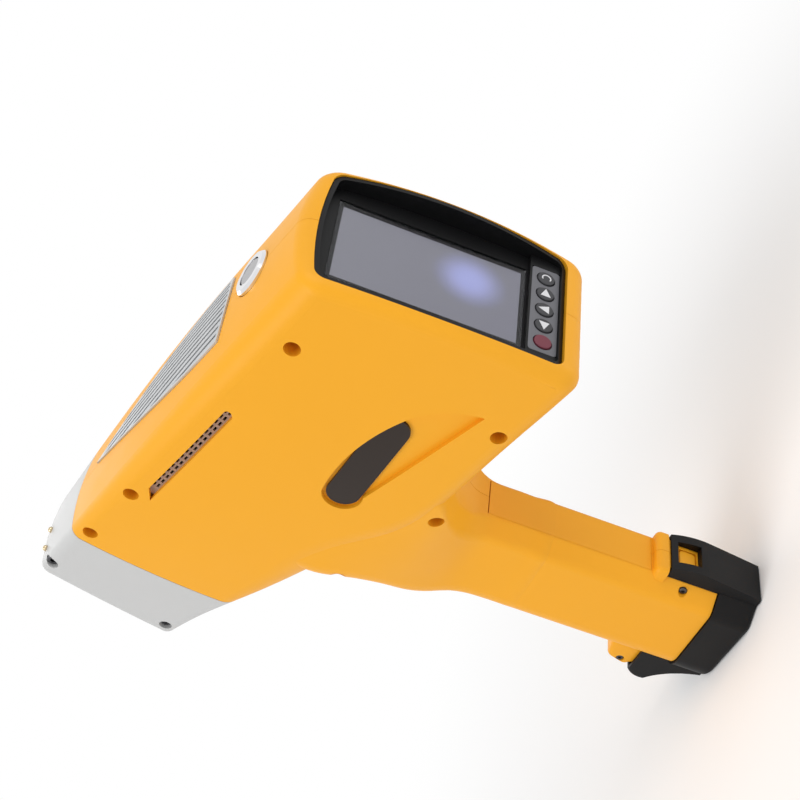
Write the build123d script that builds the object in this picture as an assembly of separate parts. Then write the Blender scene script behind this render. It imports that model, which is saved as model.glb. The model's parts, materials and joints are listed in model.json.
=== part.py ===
from build123d import *
import os
from math import sin, cos, tan, atan2, degrees, radians, pi, sqrt

# Handheld X-ray fluorescence analyzer, standing on its battery base.
# Millimetres. +Z is up along the grip, -X is the way the nose points, +X is the screen side,
# -Y is the left side. The origin is the centre of the flat battery base.
# Barrel distances: u runs back from the nose face, v runs up and square to u, y is the row's own.

# ---- barrel ------------------------------------------------------------------------------------
barrel_tilt = 14.4            # nose up, degrees
nose_top_x = -97.0            # where u and v are both zero
nose_top_z = 325.0
nose_half_width = 24.5
rear_half_width = 42.0
taper_length = 200.0          # the sides reach their full width here
taper_power = 1.8
side_bulge_nose = 0.5         # the sides are slightly convex
side_bulge_rear = 2.0
crown_rise = 8.0              # highest point of the top over the nose's front edge
crown_peak = 190.0            # how far back it lies
crown_nose = 2.0              # height of the crown over the side's top
crown_rear = 6.0
nose_height = 76.5
rear_height = 116.0
belly_length = 155.0          # the underside reaches its full depth here
top_corner_nose = 5.0
top_corner_rear = 12.0
belly_corner = 6.0
belly_corner_rear = 10.0
belly_corner_extra = 22.0     # rounder where the belly runs into the grip
belly_blend_at = 115.0
belly_blend_reach = 70.0
station_step = 30.0
station_count = 11
wall = 2.5
edge_round_nose = 4.0
edge_round_rear = 7.0

# ---- rear face ---------------------------------------------------------------------------------
rear_edge_x = 140.6           # the rear face is a shallow vertical arc
rear_mid_x = 147.5
rear_low_z = 140.0
rear_low_round = 15.0
rear_mid_z = 208.0
rear_high_z = 276.0

# ---- grip --------------------------------------------------------------------------------------
grip_half_width = 18.5
grip_front_x = -27.0
grip_rear_x = 26.8
grip_front_round = 11.0
grip_rear_bevel = 8.0
grip_rear_round = 6.0         # where the bevel meets the side
grip_spine_round = 2.6        # where the bevel meets the rear flat
grip_skirt_front_z = 19.5     # lower edge of the housing at the front
grip_skirt_rear_z = 21.0
flare_start_z = 106.0
flare_step = 8.0
flare_steps = 15
flare_front_low_z = 118.0     # the front of the grip starts to widen here
flare_front_high_z = 204.0    # and has its full width here
flare_front_half_width = 36.0
flare_front_round = 13.0
flare_rear_low_z = 134.0      # the rear widens later and faster
flare_rear_high_z = 176.0
flare_rear_half_width = 40.0
flare_rear_reach = 34.0
cheek_reach = 3.0             # the cheeks beside the trigger stand this far out of the grip
cheek_low_z = 131.0
cheek_high_z = 150.0
cove_depth = 4.5              # hollow over the trigger
cove_low_z = 152.0
cove_high_z = 178.0
brow_reach = 3.0              # the front runs out again under the belly
brow_low_z = 186.0
brow_high_z = 206.0
toe_front_x = -42.0           # screw lug at the foot of the grip
toe_half_width = 12.0
toe_low_z = 36.5
toe_foot_z = 18.0             # the lug slants back to the grip behind the boot's hook
toe_high_z = 46.5
heel_rear_x = 31.8            # ledge over the battery latch
heel_half_width = 13.0
heel_low_z = 48.8
heel_high_z = 55.0

strip_front_x = 24.8          # yellow cover strip down the back of the grip
strip_half_width = 10.2
strip_low_z = 56.0
strip_high_z = 139.5

# ---- seams and gaps ----------------------------------------------------------------------------
parting_gap = 0.2             # between the left and right housing
part_gap = 0.3                # between any two separate mouldings
slide_gap = 0.4               # around anything that moves
seam_top_u = 41.0             # the nose cap ends at this slanted, curved seam
seam_mid_u = 44.0
seam_low_u = 61.0
seam_mid_v = -42.0

# ---- screws ------------------------------------------------------------------------------------
screw_radius = 1.5
screw_clearance = 0.25
screw_head_radius = 2.9
screw_head_height = 2.2
recess_radius = 3.7
boss_radius = 4.6
recess_depth = 14.0
nose_screw_places = ((10.5, -4.2), (8.0, -69.5))
nose_recess_depth = 2.6
nose_boss_reach = 12.0


# ---- battery and its boot ----------------------------------------------------------------------
boot_proud = 1.2              # the boot stands this far out of the grip all round
boot_wall = 2.4
boot_floor = 3.0
boot_edge_round = 2.5
boot_travel = 92.0            # the pack draws straight down this far to come free
tongue_half_width = 11.0
tongue_rear_x = 35.2
tongue_top_z = 48.0
tongue_bulge_z = 30.0
window_half_width = 6.4
window_low_z = 33.5
window_high_z = 45.0
hook_front_x = -45.0
hook_half_width = 14.0
hook_top_z = 34.0
hook_bulge_z = 25.0
pack_front_x = -22.0
pack_rear_x = 17.6
pack_half_width = 12.2
pack_top_z = 92.0
pack_wall = 1.2
cell_radius = 9.0
cell_length = 65.0
cell_pitch = 18.4
contact_block_height = 8.0
contact_gap = 4.0
release_half_width = 4.6
release_height = 8.4
release_travel = 2.0
release_depth = 4.6

release_low_z = 34.6
pad_rear_x = 31.0             # the tongue slides over this pad
pad_half_width = 8.8
pad_low_z = 31.0
small_screw_places = ((23.6, 37.8, 12.6), (-37.5, 40.3, 10.2))
small_screw_radius = 1.0
small_head_radius = 1.9
small_head_height = 1.3
recess_radius_small = 2.2

# ---- trigger -----------------------------------------------------------------------------------
trigger_half_width = 5.2
trigger_pivot_x = -12.0
trigger_pivot_z = 183.0
trigger_tip_x = -35.5
trigger_low_z = 150.0
trigger_pin_radius = 1.5
trigger_pin_fit = 0.05        # radial running clearance
trigger_pull = 9.0            # degrees
trigger_pin_half_length = 13.0
switch_wall_x = -5.0
switch_front_x = -13.0
spring_z = 170.0
trigger_slot_low_z = 144.5
trigger_slot_high_z = 183.6

# ---- top: heat sink and power button -----------------------------------------------------------
sink_front_u = 60.0
sink_rear_u = 182.0
sink_half_width = 21.5
sink_waist_u = 150.0          # pulls of the long side curve
sink_point_u = 115.0
sink_point_half = 14.0
sink_rear_bow = 4.5
sink_proud = 0.8
sink_floor_v = -1.0
sink_flange = 3.5
fin_pitch = 3.9
fin_groove = 1.5
fin_groove_depth = 2.6
fin_rim = 1.6
button_u = 206.0
button_ring_radius = 11.0
button_ring_proud = 2.0
button_seat = 0.9             # depth of the flat spot-face under the ring
button_body_radius = 8.0
button_body_low_v = -7.6
button_cap_radius = 6.6
button_cap_height = 5.0
button_travel = 1.2
button_nut_radius = 10.5
button_nut_height = 2.4

# ---- sides: vents and recesses -----------------------------------------------------------------
vent_front_u = 93.0
vent_rear_u = 168.0
vent_low_v = -15.0
vent_high_v = -10.4
vent_mesh_thickness = 0.8
vent_mesh_margin = 3.0
scoop_depth = 2.6
badge_thickness = 1.4

# ---- screen ------------------------------------------------------------------------------------
opening_half_width = 34.5     # of the opening in the rear face, at its ends
opening_belly = 3.5           # its sides bow out this far
opening_low_z = 155.3
opening_high_z = 262.4
opening_crown = 3.0           # its top edge bows up this far
opening_corner = 6.0
bezel_rim = 2.0
bezel_sunk = 0.9              # the bezel's rim lies this far inside the housing's face
bezel_front_x = 126.0
bezel_floor_x = 134.5
glass_seat_x = 137.5
glass_half_width = 25.6
glass_low_z = 172.6
glass_high_z = 257.6
glass_thickness = 1.2
screen_half_width = 22.8
screen_low_z = 174.4
screen_high_z = 255.4
lcd_thickness = 3.6
display_board_x = 130.8
display_screw_places = ((-28.2, 190.0), (28.2, 190.0), (-28.2, 248.0), (28.2, 248.0))
keypad_low_z = 157.9
keypad_high_z = 170.5
keypad_half_width = 27.0
keypad_seat_x = 140.0         # the keypad stands on a step, nearer the face than the glass
keypad_thickness = 1.0
key_z = 164.1
key_first_y = -20.6
key_pitch = 10.3
key_radius = 3.95
key_proud = 0.7
key_flange = 0.6
key_flange_thickness = 0.8
key_foot_x = 134.9
switch_top_x = 134.0          # leaves room under a fully pressed key
board_thickness = 1.6

# ---- nose --------------------------------------------------------------------------------------
nose_front_wall = 3.0
plate_half_width = 17.0
plate_low_v = -64.0
plate_high_v = -10.0
plate_thickness = 1.6
window_v = -38.0
plate_screw_radius = 1.2
plate_screw_head = 0.9
aperture_radius = 5.0
film_radius = 7.0
film_thickness = 0.3
dock_pin_radius = 1.5
dock_pin_places = ((6.0, -15.0), (7.0, -4.0))
dock_pin_proud = 1.8

# ---- measuring head ----------------------------------------------------------------------------
head_front_u = 16.2
head_rear_u = 40.0
head_half_width = 14.0
head_low_v = -64.0
head_high_v = -12.0
tube_radius = 10.0
tube_length = 52.0
tube_angle = 16.0             # the tube looks down at the window
detector_radius = 7.0
detector_length = 34.0
detector_angle = 30.0         # the detector looks up at it
wheel_radius = 12.5
wheel_thickness = 1.6
wheel_u = 13.3
wheel_v = -34.0
wheel_offset = 9.0            # its shaft lies this far to the right of the beam
motor_radius = 4.0
motor_rear_u = 11.6
shaft_radius = 1.0
shaft_fit = 0.05
chassis_thickness = 2.0
chassis_screw_places = ((84.0, -30.0), (84.0, -84.0), (200.0, -30.0), (200.0, -86.0))
chassis_front_u = 80.0
chassis_rear_u = 205.0
chassis_low_v = -92.0
chassis_high_v = -22.0


def ease(t):
    t = max(0.0, min(1.0, t))
    return t * t * (3.0 - 2.0 * t)


tilt = radians(barrel_tilt)
barrel = Location(Plane(origin=(nose_top_x, 0, nose_top_z),
                        x_dir=(cos(tilt), 0, -sin(tilt)), z_dir=(sin(tilt), 0, cos(tilt))))


def row_x(u, v):
    return nose_top_x + u * cos(tilt) + v * sin(tilt)


def row_z(u, v):
    return nose_top_z - u * sin(tilt) + v * cos(tilt)


# ---- outer form --------------------------------------------------------------------------------

def side_bulge(u):
    return side_bulge_nose + (side_bulge_rear - side_bulge_nose) * min(1.0, u / taper_length)


def half_width(u):
    t = min(1.0, u / taper_length)
    return nose_half_width + (rear_half_width - nose_half_width) * (1.0 - (1.0 - t) ** taper_power)


def crown_height(u):
    return crown_nose + (crown_rear - crown_nose) * min(1.0, u / taper_length)


def crown_top(u):
    return crown_rise * sin(pi / 2.0 * min(1.0, u / crown_peak))


def side_top(u):
    return crown_top(u) - crown_height(u)


def underside(u):
    return -nose_height - (rear_height - nose_height) * ease(u / belly_length)


def barrel_section(u, inset):
    """Cross-section of the barrel: crowned top, bulging sides, flat underside, round corners."""
    bulge = side_bulge(u)
    half = half_width(u) - bulge - inset
    top = side_top(u) - inset
    low = underside(u) + inset
    middle = (top + low) / 2.0
    outline = [
        ThreePointArc((-half, top), (0, crown_top(u) - inset), (half, top)),
        ThreePointArc((half, top), (half + bulge, middle), (half, low)),
        Line((half, low), (-half, low)),
        ThreePointArc((-half, low), (-half - bulge, middle), (-half, top)),
    ]
    top_round = top_corner_nose + (top_corner_rear - top_corner_nose) * min(1.0, u / taper_length)
    blend = max(0.0, 1.0 - abs(u - belly_blend_at) / belly_blend_reach)
    low_round = belly_corner + (belly_corner_rear - belly_corner) * ease((u - belly_length) / 60.0)
    low_round += belly_corner_extra * blend
    face = Sketch() + make_face(Wire(outline))
    face = fillet(face.vertices().group_by(Axis.Y)[-1], max(1.5, top_round - inset))
    face = fillet(face.vertices().group_by(Axis.Y)[0], max(1.5, low_round - inset))
    plane = Plane(origin=(row_x(u, 0), 0, row_z(u, 0)), x_dir=(0, 1, 0),
                  z_dir=(cos(tilt), 0, -sin(tilt)))
    return plane * face


def barrel_form(inset=0.0, first=0.0):
    faces = [barrel_section(first, inset)]
    faces += [barrel_section(station_step * i, inset) for i in range(1, station_count)]
    return loft(faces)


def rear_limit(inset=0.0, rounded=True):
    """Everything in front of the curved rear face, rounded off at the foot of that face."""
    far = 2.0 * nose_top_x
    edge = rear_edge_x - inset
    low = inset - rear_height
    front_foot = (row_x(0, low), row_z(0, low))
    slope = tan(tilt)
    foot = (edge, front_foot[1] - slope * (edge - front_foot[0]))
    outline = [
        Line((far, front_foot[1] + slope * (front_foot[0] - far)), foot),
        ThreePointArc(foot, (rear_mid_x - inset, rear_mid_z), (edge, rear_high_z)),
        Line((edge, rear_high_z), (edge, 2 * nose_top_z)),
        Line((edge, 2 * nose_top_z), (far, 2 * nose_top_z)),
        Line((far, 2 * nose_top_z), (far, front_foot[1] + slope * (front_foot[0] - far))),
    ]
    face = Sketch() + make_face(Wire(outline))
    if rounded:
        corner = face.vertices().sort_by_distance((foot[0], foot[1], 0))[0]
        face = fillet(corner, rear_low_round - inset)
    return extrude(Plane.XZ * face, 2.0 * rear_half_width, both=True)


def grip_front(z):
    """Front of the grip: straight, out into the cheeks, a hollow, then out under the belly."""
    cheek = cheek_reach * ease((z - cheek_low_z) / (cheek_high_z - cheek_low_z))
    cove = cove_depth * ease((z - cove_low_z) / (cove_high_z - cove_low_z))
    brow = brow_reach * ease((z - brow_low_z) / (brow_high_z - brow_low_z))
    return grip_front_x - cheek + cove - brow


def grip_section(z, inset):
    """Level section of the grip; it widens and runs back as it enters the barrel."""
    ahead = ease((z - flare_front_low_z) / (flare_front_high_z - flare_front_low_z))
    behind = ease((z - flare_rear_low_z) / (flare_rear_high_z - flare_rear_low_z))
    front_half = grip_half_width + (flare_front_half_width - grip_half_width) * ahead
    rear_half = grip_half_width + (flare_rear_half_width - grip_half_width) * behind
    front = grip_front(z) + inset
    rear = grip_rear_x + flare_rear_reach * behind ** 2 - inset
    front_half -= inset
    rear_half -= inset
    bevel = grip_rear_bevel - inset * (2.0 - sqrt(2.0))
    face = Sketch() + make_face(Polyline(
        (front, -front_half), (rear - bevel, -rear_half), (rear, bevel - rear_half),
        (rear, rear_half - bevel), (rear - bevel, rear_half), (front, front_half), close=True))
    corners = face.vertices().group_by(Axis.X)
    front_round = grip_front_round + (flare_front_round - grip_front_round) * ahead
    face = fillet(corners[0], front_round - inset)
    face = fillet(face.vertices().group_by(Axis.X)[-1], grip_spine_round)
    shoulder = [v for v in face.vertices() if abs(v.X - (rear - bevel)) < 0.01]
    face = fillet(shoulder, grip_rear_round - inset)
    return Plane.XY.offset(z) * face


def grip_form(inset=0.0):
    flare = loft([grip_section(flare_start_z + flare_step * i, inset)
                  for i in range(flare_steps + 1)])
    straight = extrude(grip_section(flare_start_z, inset), amount=-flare_start_z)
    return flare + straight


def seam_side(offset, rear_side):
    """The space in front of, or behind, the slanted seam between nose cap and housing."""
    high = 60.0
    far = 320.0 if rear_side else -60.0
    top = (seam_top_u + offset, high)
    low = (seam_low_u + offset, -1.7 * nose_height)
    outline = [
        ThreePointArc(top, (seam_mid_u + offset, seam_mid_v), low),
        Line(low, (far, low[1])),
        Line((far, low[1]), (far, high)),
        Line((far, high), top),
    ]
    face = Plane.XZ * make_face(Wire(outline))
    return barrel * extrude(face, 2.0 * rear_half_width, both=True)


def barrel_box(u0, u1, y0, y1, v0, v1):
    centre = Pos((u0 + u1) / 2.0, (y0 + y1) / 2.0, (v0 + v1) / 2.0)
    return barrel * centre * Box(u1 - u0, y1 - y0, v1 - v0)


def row_box(x0, x1, y0, y1, z0, z1):
    return Pos((x0 + x1) / 2.0, (y0 + y1) / 2.0, (z0 + z1) / 2.0) * Box(x1 - x0, y1 - y0, z1 - z0)


def rod_y(x, z, y0, y1, radius):
    return Pos(x, (y0 + y1) / 2.0, z) * Rot(90, 0, 0) * Cylinder(radius, y1 - y0)


def rod_x(y, z, x0, x1, radius):
    return Pos((x0 + x1) / 2.0, y, z) * Rot(0, 90, 0) * Cylinder(radius, x1 - x0)


def rod_z(x, y, z0, z1, radius):
    return Pos(x, y, (z0 + z1) / 2.0) * Cylinder(radius, z1 - z0)


def barrel_rod_u(v, y, u0, u1, radius):
    return barrel * Pos((u0 + u1) / 2.0, y, v) * Rot(0, 90, 0) * Cylinder(radius, u1 - u0)


def barrel_rod_v(u, y, v0, v1, radius):
    return barrel * Pos(u, y, (v0 + v1) / 2.0) * Cylinder(radius, v1 - v0)


def extruded_y(face, y0, y1):
    """A face drawn in X and Z, carried along Y from y0 to y1."""
    return Pos(0, y1, 0) * extrude(Plane.XZ * face, y1 - y0)


def barrel_outline(points, corner, y0, y1):
    face = Sketch() + make_face(Polyline(*points, close=True))
    if corner > 0:
        face = fillet(face.vertices(), corner)
    return barrel * extruded_y(face, y0, y1)


def both_sides(left):
    return left + mirror(left, about=Plane.XZ)


# ---- screws that close the housing --------------------------------------------------------------

def housing_screw_places():
    """Row x and z of each screw, with the half width of the housing there and its recess depth."""
    on_barrel = ((49.2, -6.2), (90.0, -6.5), (215.3, -13.0), (230.9, -106.0))
    places = [(row_x(u, v), row_z(u, v), half_width(u), recess_depth) for u, v in on_barrel]
    places.append((37.0, 167.5, 35.0, recess_depth))
    places.append((-21.0, 193.5, 33.0, recess_depth))
    return places


def screw_along_y(x, z, head_y, tip_y, radius, head_radius, head_height):
    """A screw driven along Y: the underside of its head at head_y, its tip at tip_y."""
    outward = -1.0 if head_y < tip_y else 1.0
    head = rod_y(x, z, *sorted((head_y, head_y + outward * head_height)), head_radius)
    head = fillet(head.edges().sort_by(Axis.Y)[0 if outward < 0 else -1], head_height * 0.35)
    socket = Pos(x, head_y + outward * head_height, z) * Rot(90, 0, 0) * extrude(
        RegularPolygon(head_radius * 0.5, 6), head_height * 0.5, both=True)
    shank = rod_y(x, z, *sorted((head_y, tip_y)), radius)
    return head + shank - socket


def make_housing_screws():
    screws = []
    for x, z, half, depth in housing_screw_places():
        seat = -(half - depth)
        tip = min(10.0, half - 3.0)
        screws.append(screw_along_y(x, z, seat, tip, screw_radius - 0.05, screw_head_radius,
                                    screw_head_height))
    return Compound(children=screws)


def make_latch_screws():
    screws = []
    for x, z, seat in small_screw_places:
        for side in (-1, 1):
            screws.append(screw_along_y(x, z, side * seat, side * 7.4, small_screw_radius,
                                        small_head_radius, small_head_height))
    return Compound(children=screws)


# ---- housing -----------------------------------------------------------------------------------

def skirt_space(gap):
    """The space under the slanted lower edge of the grip."""
    far = 90.0
    slope = (grip_skirt_rear_z - grip_skirt_front_z) / (grip_rear_x - grip_front_x)
    low = grip_skirt_front_z + slope * (-far - grip_front_x) + gap
    high = grip_skirt_front_z + slope * (far - grip_front_x) + gap
    face = make_face(Polyline((-far, low), (far, high), (far, -far), (-far, -far), close=True))
    return extruded_y(face, -far, far)


def toe_face():
    return Sketch() + make_face(Polyline(
        (toe_front_x, toe_low_z), (grip_front_x + wall, toe_foot_z),
        (grip_front_x + wall, toe_high_z + 4.0), (toe_front_x + 3.0, toe_high_z), close=True))


def make_toe():
    """Screw lug at the front of the grip's foot."""
    face = toe_face()
    face = fillet(face.vertices().group_by(Axis.X)[0] + face.vertices().group_by(Axis.X)[1], 3.5)
    lug = extruded_y(face, -toe_half_width, toe_half_width)
    rounded = [e for e in lug.edges() if abs(abs(e.center().Y) - toe_half_width) < 0.01
               and e.center().X < grip_front_x]
    return fillet(rounded, 3.0)


def make_heel():
    """Ledge over the battery latch, and the pad under it that the release button sits in."""
    ledge = row_box(grip_rear_x - wall, heel_rear_x, -heel_half_width, heel_half_width,
                    heel_low_z, heel_high_z)
    ledge = fillet(ledge.edges().filter_by(Axis.Y).group_by(Axis.X)[-1].sort_by(Axis.Z)[-1], 3.0)
    ledge = fillet(ledge.edges().filter_by(Axis.Z).group_by(Axis.X)[-1], 3.0)
    pad = row_box(grip_rear_x - wall, pad_rear_x, -pad_half_width, pad_half_width,
                  pad_low_z, heel_low_z)
    return ledge + pad


def scoop_face():
    outline = [
        ThreePointArc((163.5, -84.0), (150.0, -76.5), (157.5, -66.8)),
        ThreePointArc((157.5, -66.8), (190.0, -64.4), (214.0, -70.1)),
        ThreePointArc((214.0, -70.1), (228.0, -80.0), (236.4, -94.7)),
        Line((236.4, -94.7), (163.5, -84.0)),
    ]
    return make_face(Wire(outline))


def badge_face():
    return Sketch() + Pos(182.0, -73.2) * Rot(0, 0, 7.1) * SlotOverall(60.4, 15.4)


def vent_face(grow):
    face = Sketch() + make_face(Polyline(
        (vent_front_u, vent_low_v), (vent_rear_u - 2.0, vent_low_v),
        (vent_rear_u, vent_low_v + 2.0), (vent_rear_u, vent_high_v),
        (vent_front_u + 7.0, vent_high_v), close=True))
    face = fillet(face.vertices().group_by(Axis.X)[-1], 1.5)
    return offset(face, grow) if grow > 0 else face


def sink_face(grow):
    """Plan of the heat sink: a long pointed leaf with a shallow bow behind."""
    half = sink_half_width + grow
    front = sink_front_u - 2.0 * grow
    rear = sink_rear_u + grow
    point = sink_point_half + grow
    outline = [
        Bezier((rear, half), (sink_waist_u, half), (sink_point_u, point), (front, 0)),
        Bezier((front, 0), (sink_point_u, -point), (sink_waist_u, -half), (rear, -half)),
        ThreePointArc((rear, -half), (rear + sink_rear_bow, 0), (rear, half)),
    ]
    return make_face(Wire(outline))


def barrel_prism_v(face, low, high):
    """A face drawn in u and y, carried from v = low to v = high."""
    return barrel * Pos(0, 0, low) * extrude(face, high - low)


def opening_face(grow):
    """Outline of the screen opening in Y and Z."""
    half = opening_half_width + grow
    low = opening_low_z - grow
    high = opening_high_z + grow
    middle = (low + high) / 2.0
    belly = half + opening_belly
    outline = [
        Line((-half, low), (half, low)),
        ThreePointArc((half, low), (belly, middle), (half, high)),
        ThreePointArc((half, high), (0, high + opening_crown), (-half, high)),
        ThreePointArc((-half, high), (-belly, middle), (-half, low)),
    ]
    face = Sketch() + make_face(Wire(outline))
    return fillet(face.vertices(), opening_corner + grow)


def extruded_x(face, x0, x1):
    """A face drawn in Y and Z, carried from x0 to x1."""
    return Pos(x0, 0, 0) * extrude(Plane.YZ * face, x1 - x0)


def make_bosses(forms):
    bosses = None
    for x, z, half, depth in housing_screw_places():
        post = rod_y(x, z, -half - 6.0, half + 6.0, boss_radius)
        bosses = post if bosses is None else bosses + post
    for u, v in chassis_screw_places:
        bosses += rod_y(row_x(u, v), row_z(u, v), chassis_thickness / 2.0 + 0.05,
                        half_width(u), boss_radius - 0.8)
    for side in (-1, 1):
        y = sorted((side * (trigger_half_width + slide_gap), side * rear_half_width))
        bosses += rod_y(trigger_pivot_x, trigger_pivot_z, *y, 3.6)
    for x, z, seat in small_screw_places:
        bosses += rod_y(x, z, -seat - 2.0, -7.0, 3.0) + rod_y(x, z, 7.0, seat + 2.0, 3.0)
    bosses += row_box(switch_wall_x, switch_wall_x + 2.0, -rear_half_width, rear_half_width,
                      146.0, 180.0)
    bosses += rod_x(0, spring_z, switch_wall_x - 6.0, switch_wall_x + 1.0, 1.5)
    bosses += row_box(strip_front_x - 2.0, grip_rear_x + 8.0, -strip_half_width - 1.4,
                      strip_half_width + 1.4, strip_low_z - 1.0, strip_high_z + 1.5)
    for side in (-1, 1):
        y = sorted((side * 33.5, side * (rear_half_width + 3.0)))
        for low in (166.0, 232.0):
            rib = row_box(120.0, 150.0, *y, low, low + 14.0)
            bosses += rib & (forms["rib_back"] - forms["rib_front"])
    return bosses & forms["solid"]


def make_housing(forms):
    """Both halves of the housing in one piece, before they are parted."""
    shell = forms["solid"] + make_toe() + make_heel() - forms["hollow"]
    shell += make_bosses(forms)
    pad = barrel * extruded_y(offset(scoop_face(), 2.5), -60, 60)
    shell += pad & (forms["wall"] - forms["pad"])
    shell -= barrel * extruded_y(scoop_face(), -60, 60) - forms["scoop_floor"]
    for side in (-1, 1):
        shell -= barrel * extruded_y(vent_face(0), *sorted((side * 20.0, side * 60.0)))
    shell -= barrel_prism_v(sink_face(part_gap), -3.0, 40.0)
    shell -= barrel_rod_v(button_u, 0, crown_top(button_u) - button_seat, 40.0,
                          button_ring_radius + part_gap)
    shell -= barrel_rod_v(button_u, 0, -10.0, 40.0, button_body_radius + part_gap)
    shell -= extruded_x(opening_face(0), bezel_front_x, rear_mid_x + 10.0)
    shell -= row_box(grip_front_x - 20.0, grip_front_x + 8.0, -trigger_half_width - slide_gap,
                     trigger_half_width + slide_gap, trigger_slot_low_z, trigger_slot_high_z)
    shell -= row_box(grip_rear_x - 4.0, heel_rear_x, -release_half_width - slide_gap,
                     release_half_width + slide_gap, release_low_z - slide_gap,
                     release_low_z + release_height + slide_gap)
    shell -= skirt_space(0.0)
    shell &= seam_side(part_gap / 2.0, True) + row_box(-60, 60, -60, 60, -10, 205)
    strip_pocket = row_box(strip_front_x - 0.1, grip_rear_x + 3.0, -strip_half_width - 0.15,
                           strip_half_width + 0.15, strip_low_z - 0.15, strip_high_z + 0.5)
    return shell - strip_pocket


def drill_housing(half, side):
    for x, z, reach, depth in housing_screw_places():
        seat = reach - depth
        if side < 0:
            half -= rod_y(x, z, -reach - 10.0, -seat, recess_radius)
            half -= rod_y(x, z, -seat - 1.0, 1.0, screw_radius + screw_clearance)
        else:
            half -= rod_y(x, z, -1.0, min(12.0, reach - 2.0), screw_radius)
    for u, v in chassis_screw_places:
        half -= rod_y(row_x(u, v), row_z(u, v), 0.0, 12.0, screw_radius - 0.3)
    y = sorted((0.0, side * (trigger_pin_half_length + 0.1)))
    half -= rod_y(trigger_pivot_x, trigger_pivot_z, *y, trigger_pin_radius + trigger_pin_fit)
    for x, z, seat in small_screw_places:
        half -= rod_y(x, z, *sorted((side * seat, side * 30.0)), recess_radius_small)
        half -= rod_y(x, z, *sorted((side * 6.5, side * 30.0)), small_screw_radius)
    return half


def split_housing(housing):
    far = 400.0
    left = housing & row_box(-far, far, -far, -parting_gap / 2.0, -far, far)
    right = housing & row_box(-far, far, parting_gap / 2.0, far, -far, far)
    return drill_housing(left, -1), drill_housing(right, 1)


# ---- nose --------------------------------------------------------------------------------------

def make_nose_cap(forms):
    nose = (forms["outer_nose"] - barrel_form(wall, nose_front_wall)) & seam_side(-part_gap / 2.0, False)
    for u, v in nose_screw_places:
        for side in (-1, 1):
            span = sorted((side * nose_boss_reach, side * 60.0))
            boss = rod_y(row_x(u, v), row_z(u, v), *span, boss_radius)
            nose += boss & forms["outer_nose"]
    for u, v in nose_screw_places:
        x, z = row_x(u, v), row_z(u, v)
        seat = half_width(u) - nose_recess_depth - screw_head_height
        for side in (-1, 1):
            nose -= rod_y(x, z, *sorted((side * seat, side * 60.0)), screw_head_radius + 0.35)
            nose -= rod_y(x, z, *sorted((side * 5.0, side * 60.0)), screw_radius + screw_clearance)
    nose -= barrel_box(-1.0, plate_thickness + 0.1, -plate_half_width - part_gap,
                       plate_half_width + part_gap, plate_low_v - part_gap, plate_high_v + part_gap)
    nose -= barrel_rod_u(window_v, 0, -1.0, 20.0, aperture_radius + 1.5)
    for v, y in plate_screw_places():
        nose -= barrel_rod_u(v, y, -1.0, 20.0, plate_screw_radius + 0.05)
    for u, y in dock_pin_places:
        nose -= barrel_rod_v(u, y, -4.0, 10.0, dock_pin_radius + 0.02)
    return nose


def plate_screw_places():
    return [(v, y) for y in (-12.0, 12.0) for v in (plate_low_v + 5.0, plate_high_v - 5.0)]


def make_window_plate():
    plate = barrel_box(0.15, plate_thickness, -plate_half_width, plate_half_width,
                       plate_low_v, plate_high_v)
    long_edges = [e for e in plate.edges() if abs(e.length - plate_thickness + 0.15) < 0.01]
    plate = fillet(long_edges, 5.0)
    plate -= barrel_rod_u(window_v, 0, -1.0, 5.0, aperture_radius)
    plate -= barrel_rod_u(window_v, 0, plate_thickness - film_thickness - 0.05, 5.0,
                          film_radius + 0.1)
    for v, y in plate_screw_places():
        plate -= barrel_rod_u(v, y, -1.0, 5.0, plate_screw_radius + 0.1)
        plate -= barrel_rod_u(v, y, -1.0, 0.15 + plate_screw_head, plate_screw_radius * 2.0)
    return plate


def make_plate_screws():
    screws = []
    for v, y in plate_screw_places():
        head = barrel_rod_u(v, y, 0.2, 0.15 + plate_screw_head - 0.02, plate_screw_radius * 1.9)
        slot = barrel_box(0.0, 0.6, y - 1.6, y + 1.6, v - 0.25, v + 0.25)
        shank = barrel_rod_u(v, y, 0.5, nose_front_wall, plate_screw_radius)
        screws.append(head + shank - slot)
    return Compound(children=screws)


def make_nose_screws():
    screws = []
    for u, v in nose_screw_places:
        seat = half_width(u) - nose_recess_depth - screw_head_height
        for side in (-1, 1):
            screws.append(screw_along_y(row_x(u, v), row_z(u, v), side * seat, side * 6.5,
                                        screw_radius - 0.05, screw_head_radius, screw_head_height))
    return Compound(children=screws)


def make_dock_pins():
    pins = []
    for u, y in dock_pin_places:
        top = crown_top(u) - crown_height(u) * (y / half_width(u)) ** 2 + dock_pin_proud
        pin = barrel_rod_v(u, y, -2.6, top, dock_pin_radius)
        pin = fillet(pin.edges().sort_by(Axis((0, 0, 0), (sin(tilt), 0, cos(tilt))))[-1],
                     dock_pin_radius * 0.9)
        pins.append(pin)
    return Compound(children=pins)


# ---- measuring head ----------------------------------------------------------------------------

def aimed_rod(angle, start, end, radius):
    """A rod on a line that leaves the window and runs back, rising by the angle."""
    middle = (start + end) / 2.0
    place = Pos(middle * cos(radians(angle)), 0, window_v + middle * sin(radians(angle)))
    return barrel * place * Rot(0, 90.0 - angle, 0) * Cylinder(radius, end - start)


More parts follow.
